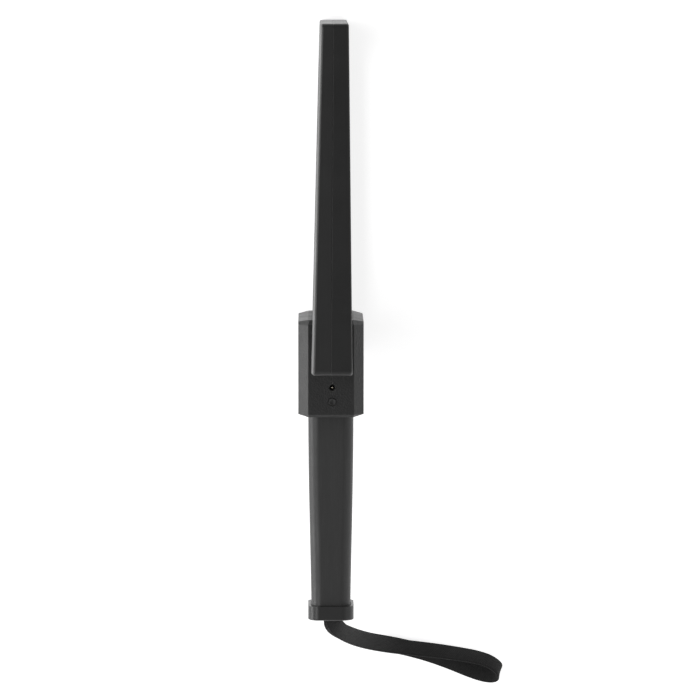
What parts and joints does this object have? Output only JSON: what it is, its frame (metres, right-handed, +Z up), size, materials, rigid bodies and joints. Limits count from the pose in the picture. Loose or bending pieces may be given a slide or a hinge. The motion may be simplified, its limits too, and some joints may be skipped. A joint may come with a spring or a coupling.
{
  "type": "microchip scanner",
  "caption": "Hand-held loop antenna reader for animal microchips, with an electronics housing, tapered battery handle, push-on end cap and woven wrist strap.",
  "frame": {"origin": "bottom centre of the reader standing on the long edge of its loop, without the strap", "axes": "+Z up, +Y along the reader towards the loop's tip, -X towards the display and buttons"},
  "size_m": [0.139, 0.4508, 0.166],
  "materials": {
    "loop_plastic": "fine moulded texture, semi-matt black",
    "housing_plastic": "fine moulded texture, semi-matt black",
    "handle_plastic": "soft-touch satin, charcoal black",
    "cap_plastic": "satin black",
    "former_plastic": "natural nylon",
    "copper_winding": "enamelled copper wire",
    "display_window": "smoked clear plastic",
    "display_glass": "grey-green display glass",
    "light_pipe": "frosted clear plastic",
    "rubber": "matt moulded rubber",
    "button_rubber": "satin moulded rubber",
    "circuit_board": "green solder mask",
    "component_black": "matt moulded plastic",
    "capacitor_film": "glossy dipped film",
    "steel": "zinc-plated steel",
    "plated_contact": "plated spring contact",
    "cell_wrap": "printed-free cell wrap",
    "webbing": "plain woven polyester"
  },
  "bodies": {
    "reader": {"loop_front_shell": "loop_plastic", "loop_rear_shell": "loop_plastic", "coil_former": "former_plastic", "antenna_coil": "copper_winding", "front_cover": "housing_plastic", "rear_cover": "housing_plastic", "housing_screws": "steel", "display_lens": "display_window", "display_gasket": "rubber", "lcd_module": "display_glass", "display_board": "circuit_board", "status_light_pipe": "light_pipe", "scan_switch": "component_black", "menu_switch": "component_black", "main_board": "circuit_board", "board_screws": "steel", "buzzer": "component_black", "tuning_capacitors": "capacitor_film", "dc_jack": "component_black", "dc_jack_pin": "plated_contact", "data_socket": "component_black", "io_board": "circuit_board", "board_connector": "former_plastic", "handle_tube": "handle_plastic", "battery_cells": "cell_wrap", "battery_tray": "component_black", "tray_contacts": "plated_contact"},
    "scan_key": {"scan_button": "button_rubber", "scan_plunger": "component_black"},
    "menu_key": {"menu_button": "button_rubber", "menu_plunger": "component_black"},
    "port_plug": {"data_port_plug": "rubber"},
    "cap_group": {"end_cap": "cap_plastic", "cap_seal": "rubber", "strap_pin": "steel", "contact_plate": "plated_contact", "contact_springs": "steel", "wrist_strap": "webbing"}
  },
  "joints": [
    {"name": "scan_press", "type": "slide", "parent": "reader", "child": "scan_key", "axis": [1, 0, 0], "range_m": [0, 0.0006], "stiffness_N_per_m": 1500},
    {"name": "menu_press", "type": "slide", "parent": "reader", "child": "menu_key", "axis": [1, 0, 0], "range_m": [0, 0.0006], "stiffness_N_per_m": 1500},
    {"name": "plug_pull", "type": "slide", "parent": "reader", "child": "port_plug", "axis": [0, 0, 1], "range_m": [0, 0.009]},
    {"name": "cap_pull", "type": "slide", "parent": "reader", "child": "cap_group", "axis": [0, -1, 0], "range_m": [0, 0.03]}
  ]
}
